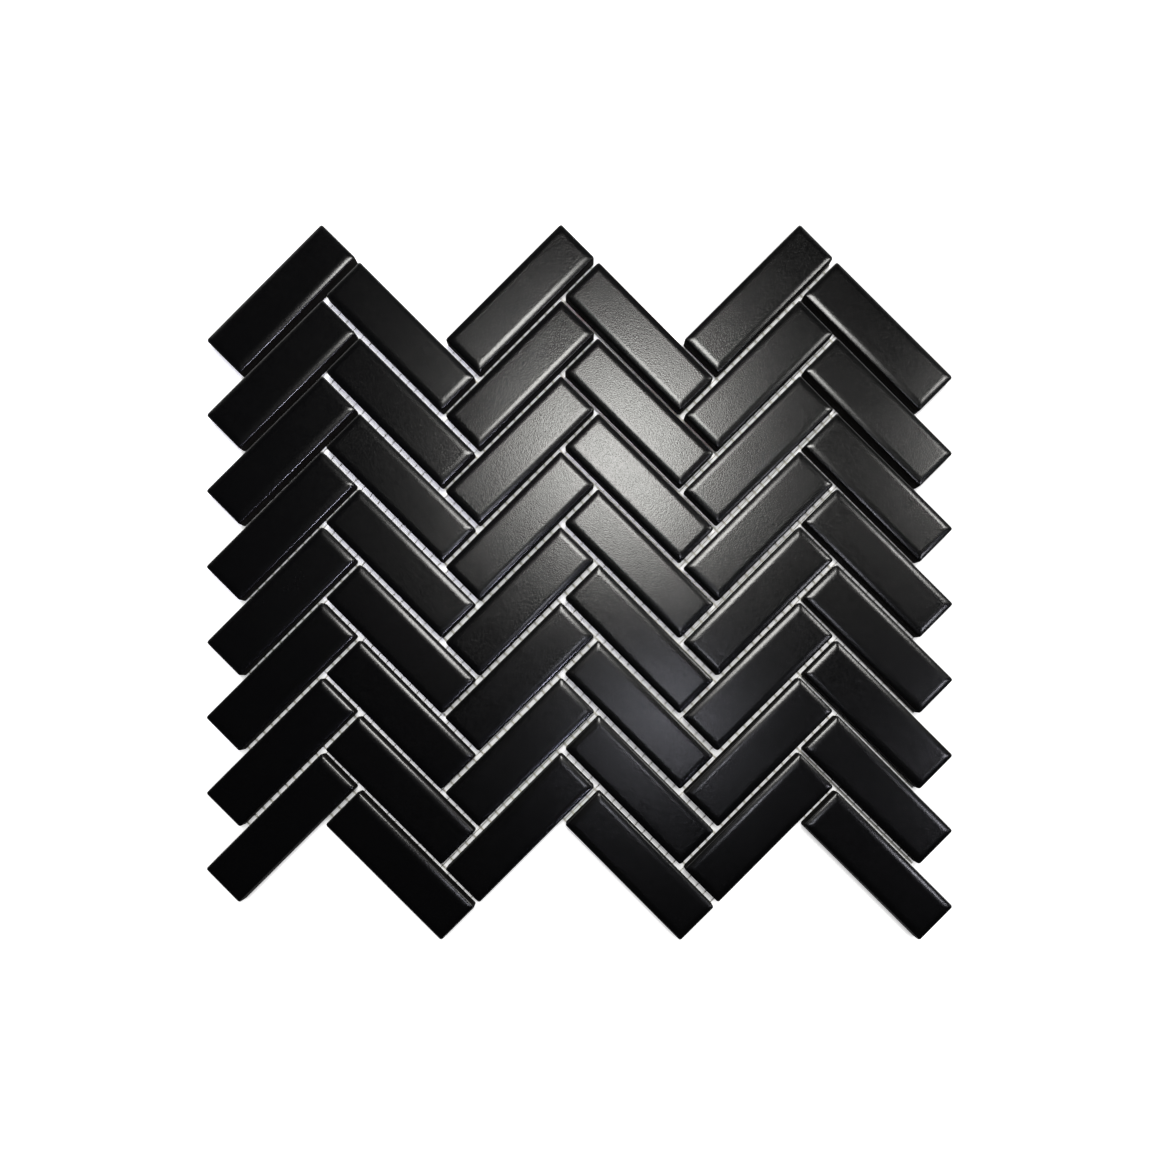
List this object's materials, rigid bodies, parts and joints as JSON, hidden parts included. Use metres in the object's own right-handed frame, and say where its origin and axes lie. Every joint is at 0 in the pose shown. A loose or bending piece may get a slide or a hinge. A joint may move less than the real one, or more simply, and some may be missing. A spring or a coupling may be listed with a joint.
{
  "type": "herringbone porcelain mosaic sheet",
  "caption": "Sheet of herringbone mosaic: long cushion-edged porcelain tiles with a satin black glaze, bonded at 45 degrees to an open glass-fibre mesh, with open joints for grout.",
  "frame": {"origin": "middle of the sheet, on the plane that the mesh rests on", "axes": "+X across the columns, +Y up the columns towards the picture's top edge, +Z out of the glazed faces"},
  "size_m": [0.3418, 0.3276, 0.0065],
  "materials": {
    "glazed_porcelain": "satin black glaze with a fine grain",
    "glass_fibre_mesh": "off-white coated glass-fibre threads"
  },
  "bodies": {
    "root": {"tile_column1_row1": "glazed_porcelain", "tile_column1_row2": "glazed_porcelain", "tile_column1_row3": "glazed_porcelain", "tile_column1_row4": "glazed_porcelain", "tile_column1_row5": "glazed_porcelain", "tile_column1_row6": "glazed_porcelain", "tile_column1_row7": "glazed_porcelain", "tile_column1_row8": "glazed_porcelain", "tile_column2_row1": "glazed_porcelain", "tile_column2_row2": "glazed_porcelain", "tile_column2_row3": "glazed_porcelain", "tile_column2_row4": "glazed_porcelain", "tile_column2_row5": "glazed_porcelain", "tile_column2_row6": "glazed_porcelain", "tile_column2_row7": "glazed_porcelain", "tile_column2_row8": "glazed_porcelain", "tile_column3_row1": "glazed_porcelain", "tile_column3_row2": "glazed_porcelain", "tile_column3_row3": "glazed_porcelain", "tile_column3_row4": "glazed_porcelain", "tile_column3_row5": "glazed_porcelain", "tile_column3_row6": "glazed_porcelain", "tile_column3_row7": "glazed_porcelain", "tile_column3_row8": "glazed_porcelain", "tile_column4_row1": "glazed_porcelain", "tile_column4_row2": "glazed_porcelain", "tile_column4_row3": "glazed_porcelain", "tile_column4_row4": "glazed_porcelain", "tile_column4_row5": "glazed_porcelain", "tile_column4_row6": "glazed_porcelain", "tile_column4_row7": "glazed_porcelain", "tile_column4_row8": "glazed_porcelain", "tile_column5_row1": "glazed_porcelain", "tile_column5_row2": "glazed_porcelain", "tile_column5_row3": "glazed_porcelain", "tile_column5_row4": "glazed_porcelain", "tile_column5_row5": "glazed_porcelain", "tile_column5_row6": "glazed_porcelain", "tile_column5_row7": "glazed_porcelain", "tile_column5_row8": "glazed_porcelain", "tile_column6_row1": "glazed_porcelain", "tile_column6_row2": "glazed_porcelain", "tile_column6_row3": "glazed_porcelain", "tile_column6_row4": "glazed_porcelain", "tile_column6_row5": "glazed_porcelain", "tile_column6_row6": "glazed_porcelain", "tile_column6_row7": "glazed_porcelain", "tile_column6_row8": "glazed_porcelain", "mesh_rising_threads": "glass_fibre_mesh", "mesh_falling_threads": "glass_fibre_mesh"}
  },
  "joints": []
}
